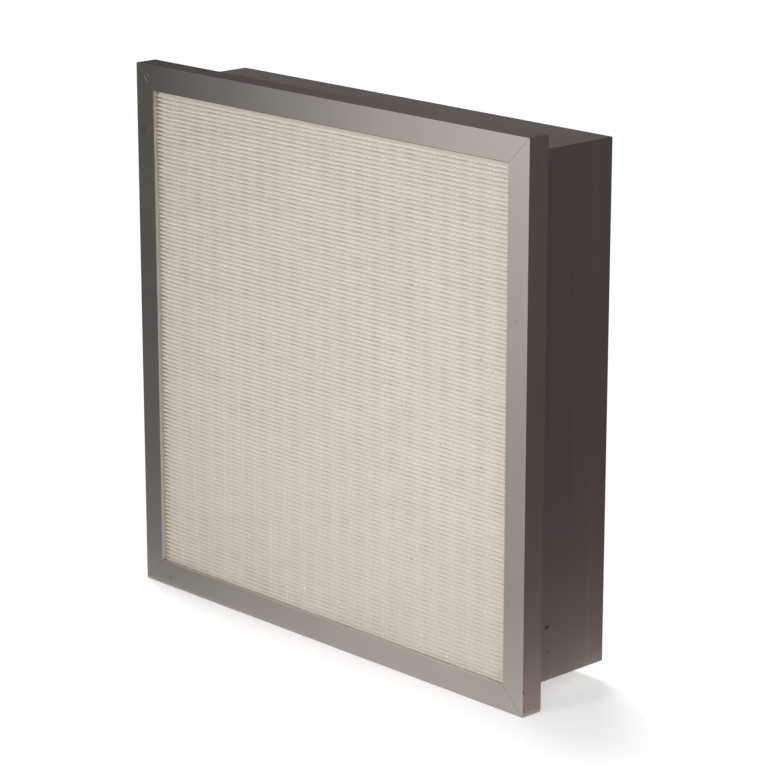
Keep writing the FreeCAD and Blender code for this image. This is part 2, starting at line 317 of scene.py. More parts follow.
# %% Marks on each rail
MARKS = {
    "right_rail": (
        ((276, -14.8, 77.8), (2, 3.4, 1.9), 0.75),
        ((276, -12.5, 50.5), (2, 3.6, 2.2), 0.22),
        ((296, -42.9, 430.7), (2, 1.2, 1.0), 0.7),
        ((296, -65.9, 567.4), (2, 1.4, 0.8), 0.6),
        ((296, -58.5, 566.6), (2, 1.6, 0.8), 0.5),
        ((296, -51.0, 570.0), (2, 0.6, 1.7), -0.7),
        ((296, -55.0, 231.0), (2, 4.0, 0.5), -0.25),
        ((296, -68.3, 6.8), (2, 1.2, 1.2), 0.45),
        ((296, -60.6, 7.0), (2, 1.6, 0.9), 0.45),
        ((296, -51.0, 8.1), (2, 1.2, 0.8), 0.4),
        ((296, -62.2, 12.1), (2, 1.0, 0.8), 0.3),
        ((296, -68.6, 27.2), (2, 1.5, 1.6), 0.6),
        ((282.0, -70, 408.3), (2.6, 2, 2.6), 0.16),
        ((273.8, -70, 402.7), (1.8, 2, 1.8), 0.12),
    ),
    "left_rail": (
        ((-285.8, -70, 520.3), (4.5, 2, 5.5), 0.2),
        ((-278.0, -70, 461.5), (3.0, 2, 3.5), 0.12),
    ),
    "top_rail": (
        ((-215.7, 45.2, 572), (6.5, 3.4, 2), 0.5),
        ((-112.5, 23.6, 572), (7.5, 4.5, 2), 0.2),
        ((255.7, 7.3, 572), (1.8, 2.4, 2), 0.8),
        ((230.4, 41.5, 572), (2.4, 3.0, 2), 0.35),
        ((251.5, 41.1, 572), (6.0, 7.0, 2), 0.15),
        ((293.1, -42.5, 592), (1.6, 1.4, 2), 0.9),
        ((292.0, -56.0, 592), (2.2, 2.6, 2), 0.6),
        ((294.0, -62.0, 592), (1.6, 2.6, 2), -0.8),
    ),
    "bottom_rail": (
        ((-254.0, -70, 10.4), (3.4, 2, 2.8), 0.25),
        ((-256.0, -70, 19.0), (1.2, 2, 1.2), 0.18),
        ((229.0, -70, 16.0), (0.9, 2, 0.9), 0.2),
    ),
}
print({rail: len(marks) for rail, marks in MARKS.items()}, "marks")


# %% Finish of a rail
MARK_SOFTNESS = 0.6


def spot(tree, place, centre, radius):
    """1 inside a round mark and 0 outside it. The radius may differ between the axes."""
    moved = add(tree, "ShaderNodeVectorMath", {0: place, 1: centre}, operation="SUBTRACT")
    sized = {0: moved.outputs["Vector"], 1: radius}
    scaled = add(tree, "ShaderNodeVectorMath", sized, operation="DIVIDE")
    far = add(tree, "ShaderNodeVectorMath", {0: scaled.outputs["Vector"]}, operation="LENGTH")
    return ranged(tree, far.outputs["Value"], 1 + MARK_SOFTNESS / 2, 1 - MARK_SOFTNESS / 2)


def anodised(rail, scale):
    """Satin anodised aluminium with its grain along a rail and the marks of that rail."""
    finish, tree, shader = new_finish(rail + "_anodised", Metallic=1)
    place = object_place(tree)
    lines = grain(tree, place, scale, detail=3, roughness=0.6)
    cloud = grain(tree, place, CLOUDS, detail=3)
    tone = mixed(tree, BAND_SHARE, mixed(tree, LINE_SHARE, cloud, lines), depth_bands(tree, place))
    colour = mixed(tree, ranged(tree, tone, *TONE_SPAN), METAL_DARK, METAL_LIGHT)
    # A painted highlight on the bevels
    colour = mixed(tree, painted_bevel_highlight(tree), colour, METAL_HIGHLIGHT_AND_CHIPS)
    # A painted highlight on the inner face of the left lip
    if rail == "left_rail":
        colour = mixed(tree, painted_lip_highlight(tree, place), colour, METAL_LIP_HIGHLIGHT)
    # Painted shade along the lowest millimetre of the top rail, over the paper
    if rail == "top_rail":
        colour = mixed(tree, painted_edge_shade(tree, place), colour, METAL_STAIN_AND_SHADE)
    # A painted highlight on the upper side of the bottom lip
    if rail == "bottom_rail":
        colour = mixed(tree, painted_sill_highlight(tree, place), colour, METAL_HIGHLIGHT_AND_CHIPS)
    for centre, radius, strength in MARKS[rail]:
        middle, reach = Vector(centre) * MM, Vector(radius) * MM
        mark = spot(tree, place, middle, reach)
        inside = ranged(tree, mark, 0, 1, 0, abs(strength), smooth=False)
        colour = mixed(tree, inside, colour, METAL_STAIN_AND_SHADE if strength > 0 else METAL_HIGHLIGHT_AND_CHIPS)
    tree.links.new(colour, shader.inputs["Base Color"])
    tree.links.new(ranged(tree, lines, *NOISE_SPAN, *METAL_ROUGHNESS), shader.inputs["Roughness"])
    tree.links.new(height_to_normal(tree, lines, LINE_DEPTH), shader.inputs["Normal"])
    return finish


def give_finish(names, finish):
    """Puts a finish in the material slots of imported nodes."""
    for name in names:
        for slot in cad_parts[name].material_slots:
            slot.material = finish
    print(finish.name, "on", ", ".join(names))


for rail in ("left_rail", "right_rail"):
    give_finish([rail], anodised(rail, (ACROSS_FINE, ACROSS_FINE, ALONG_LENGTH)))
for rail in ("bottom_rail", "top_rail"):
    give_finish([rail], anodised(rail, (ALONG_LENGTH, ACROSS_FINE, ACROSS_FINE)))

# %% [markdown]
# ## Corner keys
# The keys are aluminium castings that hide in the chambers of the header. A casting is duller and
# coarser than a drawn section, so this finish has a rounder grain, more roughness and no lines.

# %% Finish of the keys
CAST_DARK = paint(140, 139, 137)
CAST_LIGHT = paint(168, 166, 163)
CAST_GRAIN = (900, 900, 900)
CAST_DEPTH = 0.08 * MM


def cast_aluminium():
    finish, tree, shader = new_finish("cast_aluminium", Metallic=1, Roughness=0.58)
    place = object_place(tree)
    skin = grain(tree, place, CAST_GRAIN, detail=4)
    tree.links.new(mixed(tree, skin, CAST_DARK, CAST_LIGHT), shader.inputs["Base Color"])
    tree.links.new(height_to_normal(tree, skin, CAST_DEPTH), shader.inputs["Normal"])
    return finish


give_finish(sorted(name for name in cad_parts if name.endswith("_key")), cast_aluminium())

# %% [markdown]
# ## Sealant in the mitres
# A bead of sealant fills each mitre from behind and shows as a hairline. Three of them are dark, and
# the one at the top left caught more compound and dried pale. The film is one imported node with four
# solids, so its colour changes with the place in the part.

# %% Finish of the sealant
SEALANT_DARK = paint(70, 60, 54)
SEALANT_PALE = paint(176, 164, 150)
SEALANT_PATCHES = (260, 260, 260)
# Where the pale corner begins and is full, along Z and along X, and how pale it is at least
PALE_ABOVE = (0.5, 0.56)
PALE_LEFT = (-0.2, -0.26)
LEAST_PALE = 0.6


def sealant_film():
    finish, tree, shader = new_finish("mitre_sealant_film", Roughness=0.45)
    place = object_place(tree)
    high = ranged(tree, axis(tree, place, "Z"), *PALE_ABOVE)
    left = ranged(tree, axis(tree, place, "X"), *PALE_LEFT)
    patchy = ranged(tree, grain(tree, place, SEALANT_PATCHES), *PATCH_SPAN, LEAST_PALE, 1)
    share = times(tree, times(tree, high, left), patchy)
    tree.links.new(mixed(tree, share, SEALANT_DARK, SEALANT_PALE), shader.inputs["Base Color"])
    return finish


give_finish(["mitre_sealant"], sealant_film())

# %% [markdown]
# ## Potting
# The pack is cast in an amber polyurethane. It shows in the valleys at the ends of the pleats, as a
# small amber wedge in each, and as a narrow strip along the rails. It is smooth, with a lighter and
# darker drift where the compound ran. Over and under the pack the same compound is painted pale:
# painted light in the shaded gaps along the top and bottom rails.

# %% Finish of the potting
POTTING_DEEP = paint(120, 90, 40)
POTTING_CLEAR = paint(168, 136, 78)
# Pale tones over and under the pack: painted light in the shaded gaps by the rails
POTTING_PAINTED_PALE = paint(236, 226, 212)
POTTING_PAINTED_PALER = paint(244, 235, 222)
POTTING_DRIFT = (120, 120, 240)
PALE_POTTING_DRIFT = (60, 200, 200)
POTTING_DEPTH = 0.15 * MM


def amber_potting():
    finish, tree, shader = new_finish("amber_potting", Roughness=0.32, IOR=1.5)
    place = object_place(tree)
    drift = grain(tree, place, POTTING_DRIFT, detail=3)
    colour = mixed(tree, ranged(tree, drift, *NOISE_SPAN), POTTING_DEEP, POTTING_CLEAR)
    tree.links.new(colour, shader.inputs["Base Color"])
    tree.links.new(height_to_normal(tree, drift, POTTING_DEPTH), shader.inputs["Normal"])
    return finish


def potting_painted_pale():
    """The same compound over and under the pack, painted pale as painted light in the shaded gaps by the
    rails.
    """
    finish, tree, shader = new_finish("potting_painted_pale", Roughness=0.5, IOR=1.5)
    drift = grain(tree, object_place(tree), PALE_POTTING_DRIFT, detail=3)
    colour = mixed(tree, ranged(tree, drift, *NOISE_SPAN), POTTING_PAINTED_PALE, POTTING_PAINTED_PALER)
    tree.links.new(colour, shader.inputs["Base Color"])
    return finish


give_finish(["left_potting", "right_potting"], amber_potting())
give_finish(["bottom_potting", "top_potting"], potting_painted_pale())

# %% [markdown]
# ## Filter paper
# The sheet is a wet-laid glass and synthetic fibre paper: matt, warm white, with a fine felted
# surface. The tips are painted a little darker, and just below them the paper is painted paler and
# warmer: painted light that makes up for the shade between the folds. The valleys low in the pack
# are painted a little greyer than the upper ones: painted shade below and painted light above.
# Small flecks are loose fibres and specks of hot-melt.

# %% Tones of the paper
# The tips are painted darker and the valleys paler: painted light against the shade between the folds
PAPER = paint(200, 190, 180)
PAPER_VALLEY_LIGHT = paint(253, 244, 231)
PAPER_LOW_VALLEY_SHADE = paint(231, 223, 212)
PAPER_SHADE = paint(195, 186, 175)
FLECK_DARK = paint(150, 128, 96)
FLECK_PALE = paint(240, 234, 226)
# Below the tips: where the paler colour of the valleys, painted light, begins and where it is full
VALLEY_TONE_FROM = 0.3 * MM
VALLEY_TONE_FULL = 1.0 * MM
# Heights between which the valleys go from painted shade to painted light
VALLEY_SHADE_HEIGHTS = (0.05, 0.5)
# Cells in each metre, and the felt's span of noise, its share of shade and its depth
PAPER_DRIFT = (16, 16, 24)
FELT = (1400, 1400, 1400)
FELT_SPAN = (0.35, 0.75)
FELT_SHADE = 0.35
FELT_DEPTH = 0.03 * MM
# Flecks: cells in each metre, the share of cells that hold one, and its size as a share of a cell
DARK_FLECKS = (70, 0.10, 0.09)
PALE_FLECKS = (55, 0.12, 0.08)
print("flecks:", DARK_FLECKS, PALE_FLECKS)


# %% Finish of the paper
def below_tips(tree, place):
    """0 at the pleat tips of either side and 1 deep in the pack."""
    depth = axis(tree, place, "Y")
    away = add(tree, "ShaderNodeMath", {0: depth}, operation="ABSOLUTE").outputs["Value"]
    return ranged(tree, away, pack_back - VALLEY_TONE_FROM, pack_back - VALLEY_TONE_FULL, smooth=False)


def flecks(tree, place, cells, share, size):
    """Sparse small specks: one cell in a few holds a speck in its middle."""
    field = add(tree, "ShaderNodeTexVoronoi", {"Vector": place, "Scale": cells, "Randomness": 1})
    dice = add(tree, "ShaderNodeSeparateColor", {"Color": field.outputs["Color"]}).outputs["Red"]
    chosen = add(tree, "ShaderNodeMath", {0: dice, 1: share}, operation="LESS_THAN").outputs["Value"]
    near = ranged(tree, field.outputs["Distance"], size, size / 2)
    return times(tree, chosen, near)


def filter_paper():
    finish, tree, shader = new_finish("filter_paper", Roughness=0.92)
    shader.inputs["Specular IOR Level"].default_value = 0.2
    place = object_place(tree)
    felt = grain(tree, place, FELT, detail=4, roughness=0.7)
    drift = grain(tree, place, PAPER_DRIFT, detail=3)
    colour = mixed(tree, ranged(tree, drift, *NOISE_SPAN), PAPER, PAPER_SHADE)
    colour = mixed(tree, ranged(tree, felt, *FELT_SPAN, 0, FELT_SHADE), colour, PAPER_SHADE)
    # Painted shade in the lower valleys and painted light in the upper ones
    upper_light_share = ranged(tree, axis(tree, place, "Z"), *VALLEY_SHADE_HEIGHTS, smooth=False)
    valleys = mixed(tree, upper_light_share, PAPER_LOW_VALLEY_SHADE, PAPER_VALLEY_LIGHT)
    # Painted light in the valleys below the tips
    colour = mixed(tree, below_tips(tree, place), colour, valleys)
    colour = mixed(tree, flecks(tree, place, *DARK_FLECKS), colour, FLECK_DARK)
    colour = mixed(tree, flecks(tree, place, *PALE_FLECKS), colour, FLECK_PALE)
    tree.links.new(colour, shader.inputs["Base Color"])
    tree.links.new(height_to_normal(tree, felt, FELT_DEPTH), shader.inputs["Normal"])
    return finish


paper_finish = filter_paper()
print(paper_finish.name)

# %% [markdown]
# ## Hot-melt
# The lines that hold the pleats apart are a string of hot-melt adhesive, laid on the flat paper and
# folded in with it. It is milky and close to the paper in colour, a touch warmer, and smooth.

# %% Finish of the hot-melt
MELT_PALE = paint(197, 187, 175)
MELT_WARM = paint(204, 193, 176)
MELT_DRIFT = (220, 220, 220)
WARM_SHARE = 0.5


def hot_melt():
    finish, tree, shader = new_finish("hot_melt_adhesive", Roughness=0.5)
    place = object_place(tree)
    drift = grain(tree, place, MELT_DRIFT)
    colour = mixed(tree, ranged(tree, drift, *PATCH_SPAN, 0, WARM_SHARE), MELT_PALE, MELT_WARM)
    colour = mixed(tree, below_tips(tree, place), colour, MELT_WARM)
    tree.links.new(colour, shader.inputs["Base Color"])
    return finish


melt_finish = hot_melt()
print(melt_finish.name)


# %% Helpers for new pieces
def triangles(mesh):
    mesh.calc_loop_triangles()
    return len(mesh.loop_triangles)


def finish_piece(name, bm, finish, smooth_angle=50):
    """Makes an object of a bmesh at the origin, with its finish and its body."""
    mesh = bpy.data.meshes.new(name)
    bm.to_mesh(mesh)
    closed = all(edge.is_manifold for edge in bm.edges)
    bm.free()
    mesh.shade_smooth()
    mesh.set_sharp_from_angle(angle=math.radians(smooth_angle))
    mesh.materials.append(finish)
    piece = bpy.data.objects.new(name, mesh)
    bpy.context.scene.collection.objects.link(piece)
    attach(piece, "root")
    print(name, triangles(mesh), "triangles,", "closed" if closed else "open")
    return piece


def only(kind, geometry):
    """The vertices, edges or faces among what an operator returns."""
    return [item for item in geometry if isinstance(item, kind)]


def copy_by(bm, geometry, way):
    """Copies a piece of geometry and moves the copy."""
    copy = bmesh.ops.duplicate(bm, geom=geometry)["geom"]
    bmesh.ops.translate(bm, verts=only(bmesh.types.BMVert, copy), vec=way)


def thicken(bm, thickness):
    """Turns the faces of a sheet to the front and gives it a thickness, behind it or, below 0, before
    it. A thickness below 0 leaves the faces inside out, so they are turned."""
    bmesh.ops.recalc_face_normals(bm, faces=bm.faces[:])
    if sum(face.normal.y for face in bm.faces) > 0:
        bmesh.ops.reverse_faces(bm, faces=bm.faces[:])
    bmesh.ops.solidify(bm, geom=bm.faces[:], thickness=thickness)
    if thickness < 0:
        bmesh.ops.reverse_faces(bm, faces=bm.faces[:])


print("helpers for pieces ready")

# %% [markdown]
# ## The folded sheet
# The pack is one sheet. It could be modelled as 117 separate V shapes, but then the folds would not
# join. Here it is made the way it is folded: a chain of edges that goes back and forth, with a spun
# arc at each fold, is repeated up the pack and then drawn out across the filter. The chain is the
# skin that faces the front, so a front fold has the outer radius and a rear fold the inner one, and
# the thickness is added behind it. The folds are full and pressed flat, so that on either face only
# a narrow groove is left between two of them, and each leg runs a little aslant between a wide fold
# and a narrow valley.

# %% Sizes of the sheet
PLEAT_PITCH = 4.61 * MM
SHEET = 0.5 * MM
FOLD_RADIUS = 2.12 * MM
INNER_RADIUS = FOLD_RADIUS - SHEET
PRESS = 0.5
FRONT_STEPS = 4
REAR_STEPS = 3
pleat_count = round((pack_high.z - pack_low.z) / PLEAT_PITCH)
front_centre = pack_front + FOLD_RADIUS * PRESS
rear_centre = pack_back - SHEET - INNER_RADIUS * PRESS
print(pleat_count, "pleats of", PLEAT_PITCH / MM, "mm")


# %% One pleat as a chain of edges
def go_round(bm, vertex, centre, angle, steps):
    """Spins the end of the chain round a fold and returns the new end."""
    turned = bmesh.ops.spin(bm, geom=[vertex], cent=centre, axis=(1, 0, 0), angle=angle, steps=steps)
    return only(bmesh.types.BMVert, turned["geom_last"])[0]


def go_straight(bm, vertex, y_place, z_place):
    """Draws the end of the chain out to a new place."""
    end = bmesh.ops.extrude_vert_indiv(bm, verts=[vertex])["verts"][0]
    end.co = Vector((vertex.co.x, y_place, z_place))
    return end


def press_fold(bm, centre, is_fold):
    """Presses a round fold flatter, as the weight of the pack does before the glue sets."""
    arc = [vertex for vertex in bm.verts if is_fold(vertex.co.y)]
    bmesh.ops.scale(bm, vec=(1, PRESS, 1), verts=arc, space=Matrix.Translation((0, -centre, 0)))


def chain_of_one_pleat(bm, x_place, z_place):
    """From the first rear fold over the front fold to the start of the next rear fold."""
    rear_step = math.pi / REAR_STEPS
    start_angle = math.pi / 2 - rear_step
    start = (x_place, rear_centre + INNER_RADIUS * math.cos(start_angle),
             z_place - INNER_RADIUS * math.sin(start_angle))
    middle = z_place + PLEAT_PITCH / 2
    end = bm.verts.new(start)
    rest = REAR_STEPS - 1
    end = go_round(bm, end, (x_place, rear_centre, z_place), rest * rear_step, rest)
    end = go_straight(bm, end, front_centre, middle - FOLD_RADIUS)
    end = go_round(bm, end, (x_place, front_centre, middle), -math.pi, FRONT_STEPS)
    end = go_straight(bm, end, rear_centre, z_place + PLEAT_PITCH - INNER_RADIUS)
    go_round(bm, end, (x_place, rear_centre, z_place + PLEAT_PITCH), rear_step, 1)
    press_fold(bm, front_centre, lambda y: y < front_centre)
    press_fold(bm, rear_centre, lambda y: y > rear_centre)


print("one pleat is a chain of", FRONT_STEPS + REAR_STEPS + 2, "edges")

# %% [markdown]
# Between two lines of hot-melt the paper is free, and it isn't quite straight there: the tip bulges
# a little and leans up or down. So the sheet is drawn out in two steps for each space between the
# lines, and the vertices midway are moved near the tips. Smooth noise gives each pleat its own lean,
# and the same seed always gives the same pack.

# %% How the free tips bend
BULGE = 0.9 * MM
LEAN = 0.3 * MM
TIP_ZONE = 3 * MM
# The part of the bulge that is the same on every pleat
EVEN_BULGE = 0.6
# Steps through the noise from space to space and from pleat to pleat, and the places it is read at
SPACE_STEP = 1.9
PLEAT_STEP = 0.45
NOISE_SEED = 3.7
BULGE_ROW = 40
LEAN_ROW = 90
supports = [left_bed_high.x] + bead_places + [right_bed_low.x]
midways = [(one + other) / 2 for one, other in zip(supports, supports[1:])]
line_at = {round(place / MM, 1): line for line, place in enumerate(midways)}


def lean_of(line, height):
    """How far a free tip leans, as a share, for one space between the lines and one height."""
    return noise.noise(Vector((line * SPACE_STEP, height / PLEAT_PITCH * PLEAT_STEP, NOISE_SEED)))


def bend_tips(bm):
    """Moves the free tips out by the bulge, and up or down by the lean."""
    for vertex in bm.verts:
        line = line_at.get(round(vertex.co.x / MM, 1))
        if line is None or abs(vertex.co.y) < pack_back - TIP_ZONE:
            continue
        side = -1 if vertex.co.y < 0 else 1
        own = (1 - EVEN_BULGE) * lean_of(line + BULGE_ROW, vertex.co.z)
        vertex.co.y += side * BULGE * (EVEN_BULGE + own)
        vertex.co.z += LEAN * lean_of(line + LEAN_ROW * side, vertex.co.z)


print(len(midways), "spaces between the lines, in which the tips are free")


# %% Fold the sheet
MERGE_WITHIN = 0.01 * MM


def repeat_up(bm, geometry, count):
    """Copies a piece of geometry up the pack, once for each pleat."""
    for number in range(1, count):
        copy_by(bm, geometry, (0, 0, number * PLEAT_PITCH))
    bmesh.ops.remove_doubles(bm, verts=bm.verts[:], dist=MERGE_WITHIN)


def draw_out(bm, edges, width):
    """Draws edges on along X by a width and returns the new ones."""
    drawn = bmesh.ops.extrude_edge_only(bm, edges=edges)["geom"]
    bmesh.ops.translate(bm, verts=only(bmesh.types.BMVert, drawn), vec=(width, 0, 0))
    return only(bmesh.types.BMEdge, drawn)


def fold_sheet():
    """The whole pack as one thick sheet."""
    bm = bmesh.new()
    chain_of_one_pleat(bm, pack_low.x, pack_low.z)
    repeat_up(bm, bm.verts[:] + bm.edges[:], pleat_count)
    edges, here = bm.edges[:], pack_low.x
    for place in sorted(supports + midways + [pack_high.x]):
        edges = draw_out(bm, edges, place - here)
        here = place
    bend_tips(bm)
    thicken(bm, SHEET)
    return bm


folded_sheet = finish_piece("folded_sheet", fold_sheet(), paper_finish)
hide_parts("pleated_media")

# %% [markdown]
# ## The hot-melt lines
# Each line of hot-melt fills the valleys in front of it like the teeth of a comb, and lies over the
# tips as a thin skin. In a valley it sags between the two tips, because the glue was drawn thin as
# the pack was closed. One pitch of it is drawn as an outline seen from the side, repeated up the
# pack, and given the width of the string. The combs at the rear are the same thing turned about Z,
# and start half a pitch lower, because a rear valley lies behind a front tip.

# %% Outline of one pitch
SKIN = 0.08 * MM
SAG = 0.75 * MM
WEB_DEPTH = 12 * MM
BEAD_WIDTH = first_bead_high.x - first_bead_low.x
HALF = PLEAT_PITCH / 2
COMB_SMOOTH_ANGLE = 40
# Each point: height from the tip, depth behind the tip, in metres
OUTER_LINE = ((-HALF, SAG), (-1.75 * MM, 0.34 * MM), (-MM, 0.05 * MM), (0, -SKIN),
              (MM, 0.05 * MM), (1.75 * MM, 0.34 * MM), (HALF, SAG))
INNER_LINE = ((HALF, WEB_DEPTH), (1.65 * MM, WEB_DEPTH - 1.2 * MM), (1.55 * MM, 1.3 * MM),
              (0, 0.3 * MM), (-1.55 * MM, 1.3 * MM), (-1.65 * MM, WEB_DEPTH - 1.2 * MM),
              (-HALF, WEB_DEPTH))


def comb_outline(bm, x_place, tip_height):
    """One pitch of the comb as a flat face, cut in strips so that no strip is bent."""
    corners = [bm.verts.new((x_place, pack_front + depth, tip_height + height))
               for height, depth in OUTER_LINE + INNER_LINE]
    count = len(OUTER_LINE)
    for number in range(count - 1):
        other = 2 * count - 1 - number
        bm.faces.new([corners[number], corners[number + 1], corners[other - 1], corners[other]])


print("one pitch has", len(OUTER_LINE) + len(INNER_LINE), "corners")


# %% Combs on both sides
def comb_profile(first_tip):
    """The flat profile of one comb, from the first tip up the pack."""
    bm = bmesh.new()
    comb_outline(bm, first_bead_low.x, first_tip)
    repeat_up(bm, bm.verts[:] + bm.edges[:] + bm.faces[:], pleat_count)
    return bm


def all_combs(first_tip):
    """The profile drawn out to the width of the string, and copied to every line."""
    bm = comb_profile(first_tip)
    raised = bmesh.ops.extrude_face_region(bm, geom=bm.faces[:])["geom"]
    bmesh.ops.translate(bm, verts=only(bmesh.types.BMVert, raised), vec=(BEAD_WIDTH, 0, 0))
    bmesh.ops.recalc_face_normals(bm, faces=bm.faces[:])
    one = bm.verts[:] + bm.edges[:] + bm.faces[:]
    for place in bead_places[1:]:
        copy_by(bm, one, (place - bead_places[0], 0, 0))
    return bm


front_bm = all_combs(pack_low.z + HALF)
front_combs = finish_piece("front_hot_melt_lines", front_bm, melt_finish, COMB_SMOOTH_ANGLE)
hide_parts(*bead_names)

rear_bm = all_combs(pack_low.z)
bmesh.ops.rotate(rear_bm, verts=rear_bm.verts[:], matrix=Matrix.Rotation(math.pi, 3, "Z"))
rear_combs = finish_piece("rear_hot_melt_lines", rear_bm, melt_finish, COMB_SMOOTH_ANGLE)
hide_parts(*[name.replace("front", "rear") for name in bead_names])

# %% [markdown]
# ## Potting that crept into the valleys
# While it is liquid, the polyurethane creeps a little way along each valley and sets as a tapering
# tongue. From the front these tongues are the row of amber teeth along the left-hand rail. On the
# right they are shorter and paler. Each is a cone, pressed flat and laid in its valley with the wide
# end at the rail. Their lengths differ.

# %% Finish of the tongues
TONGUE_OLIVE = paint(128, 104, 60)
TONGUE_CLEAR = paint(150, 128, 84)
TONGUE_YELLOW = paint(178, 158, 112)
# Along X: where the paler colour begins and is full
YELLOW_FROM = (0.0, 0.1)
TONGUE_DRIFT = (60, 200, 330)


def tongue_finish():
    finish, tree, shader = new_finish("crept_potting", Roughness=0.3, IOR=1.5)
    place = object_place(tree)
    drift = grain(tree, place, TONGUE_DRIFT)
    colour = mixed(tree, ranged(tree, drift, *NOISE_SPAN), TONGUE_OLIVE, TONGUE_CLEAR)
    right = ranged(tree, axis(tree, place, "X"), *YELLOW_FROM)
    colour = mixed(tree, right, colour, TONGUE_YELLOW)
    tree.links.new(colour, shader.inputs["Base Color"])
    return finish


crept_finish = tongue_finish()
print(crept_finish.name)

# %% Tongues of potting
TONGUE_LENGTH = (7 * MM, 11.5 * MM)
SHORTER = 0.62
TONGUE_HALF_HEIGHT = 1.25 * MM
HEIGHTS_DIFFER = (0.85, 1.05)
TONGUE_TIP = 0.12
TONGUE_SIDES = 8
TONGUE_PRESS = 0.6
TONGUE_DEPTH = 0.6 * MM
TONGUE_SEED = 4


def tongue(bm, rail_x, way, height, length, wide):
    """One cone from a rail into a valley. The way is 1 to the right and -1 to the left."""
    made = bmesh.ops.create_cone(bm, cap_ends=True, segments=TONGUE_SIDES, radius1=wide,
                                 radius2=wide * TONGUE_TIP, depth=length)["verts"]
    turn = Matrix.Rotation(way * math.pi / 2, 3, "Y")
    bmesh.ops.rotate(bm, verts=made, matrix=turn)
    bmesh.ops.scale(bm, verts=made, vec=(1, TONGUE_PRESS, 1))
    place = (rail_x + way * length / 2, pack_front + TONGUE_DEPTH, height)
    bmesh.ops.translate(bm, verts=made, vec=place)


def potting_tongues():
    """Tongues at both ends of every valley of the front. Those on the right are shorter."""
    bm = bmesh.new()
    dice = random.Random(TONGUE_SEED)
    for number in range(1, pleat_count):
        height = pack_low.z + number * PLEAT_PITCH
        for rail_x, way in ((left_bed_high.x, 1), (right_bed_low.x, -1)):
            length = dice.uniform(*TONGUE_LENGTH) * (1 if way > 0 else SHORTER)
            wide = TONGUE_HALF_HEIGHT * dice.uniform(*HEIGHTS_DIFFER)
            tongue(bm, rail_x, way, height, length, wide)
    return bm


finish_piece("front_potting_tongues", potting_tongues(), crept_finish)

# %% [markdown]
# ## The end of the sheet
# The last leg of the folded sheet is turned down over the top of the pack and glued to the upper
# tips, so under the top rail there is a smooth band of paper instead of pleats. It follows the
# bulges of the tips. The band is painted a little darker and yellower: painted shade under the top rail.

# %% End flap
FLAP_LOW = 559.3 * MM
FLAP_HIGH = 563.9 * MM
FLAP_GAP = 0.05 * MM
FLAP_SHEET = 0.3 * MM
# How far its ends stay from the potting on the left and on the right
FLAP_ENDS = (4 * MM, 0.3 * MM)
# How far it stands off where it doesn't bulge, and how much its lower edge wanders
FLAP_STAND = 0.1 * MM
FLAP_WANDER = 0.4 * MM
WANDER_ROW = 7
WANDER_STEP = 9


def end_flap():
    """A thin strip over the upper tips: a profile edge drawn out along X, with the bulges."""
    bm = bmesh.new()
    start, end = left_bed_high.x + FLAP_ENDS[0], right_bed_low.x - FLAP_ENDS[1]
    places = [start] + sorted(bead_places + midways[1:]) + [end]
    ends = [bm.verts.new((start, pack_front, height)) for height in (FLAP_LOW, FLAP_HIGH)]
    edge = [bm.edges.new(ends)]
    for here, there in zip(places, places[1:]):
        edge = draw_out(bm, edge, there - here)
    for vertex in bm.verts:
        at_midway = round(vertex.co.x / MM, 1) in line_at
        low = vertex.co.z < (FLAP_LOW + FLAP_HIGH) / 2
        vertex.co.y = pack_front - FLAP_GAP - (BULGE if at_midway and low else FLAP_STAND)
        if low:
            vertex.co.z += FLAP_WANDER * lean_of(WANDER_ROW, vertex.co.x * WANDER_STEP)
    thicken(bm, -FLAP_SHEET)
    return bm


flap_bm = end_flap()
print("end flap with", len(flap_bm.faces), "faces")

# %% Finish of the end flap
# The darker tone of the flap is painted shade under the top rail
PAPER_FLAP_SHADE = paint(188, 179, 165)
FLAP_DRIFT = (40, 200, 200)


def flap_paper_painted_shade():
    finish, tree, shader = new_finish("flap_paper_painted_shade", Roughness=0.85)
    shader.inputs["Specular IOR Level"].default_value = 0.2
    drift = grain(tree, object_place(tree), FLAP_DRIFT, detail=3)
    colour = mixed(tree, ranged(tree, drift, *NOISE_SPAN), PAPER_FLAP_SHADE, PAPER_SHADE)
    tree.links.new(colour, shader.inputs["Base Color"])
    return finish


finish_piece("top_end_flap", flap_bm, flap_paper_painted_shade())

# %% [markdown]
# ## Glue at the mitres
# Where the assembler wiped the corners, a little sealant stayed on the left mitres: a thin pale smear
# along the hairline, and a small drop at the bottom. Each is a flattened ball, drawn long along the
# mitre and sunk in the face.

# %% Smears of glue
GLUE = paint(158, 147, 126)
SMEAR_THICKNESS = 0.15 * MM
# Each: place along X and Z, length and width in millimetres, and turn from upright in degrees
SMEARS = ((-280.6, 576.2, 8.0, 0.8, -45), (-276.6, 580.0, 6.0, 0.4, -40), (-278.4, 17.8, 1.8, 1.2, 45))


def dried_glue():
    finish, tree, shader = new_finish("dried_glue", Roughness=0.4)
    shader.inputs["Base Color"].default_value = GLUE
    return finish


def smear_of_glue(bm, place, length, width, turn):
    """A flattened ball on the metal, drawn out along the mitre."""
    ball = bmesh.ops.create_icosphere(bm, subdivisions=2, radius=1)["verts"]
    bmesh.ops.scale(bm, vec=(width / 2, SMEAR_THICKNESS, length / 2), verts=ball)
    bmesh.ops.rotate(bm, verts=ball, matrix=Matrix.Rotation(math.radians(turn), 3, "Y"))
    bmesh.ops.translate(bm, vec=place, verts=ball)


def glue_smears():
    bm = bmesh.new()
    for x_place, z_place, length, width, turn in SMEARS:
        smear_of_glue(bm, (x_place * MM, front_face, z_place * MM), length * MM, width * MM, turn)
    return bm


finish_piece("mitre_glue_smears", glue_smears(), dried_glue())

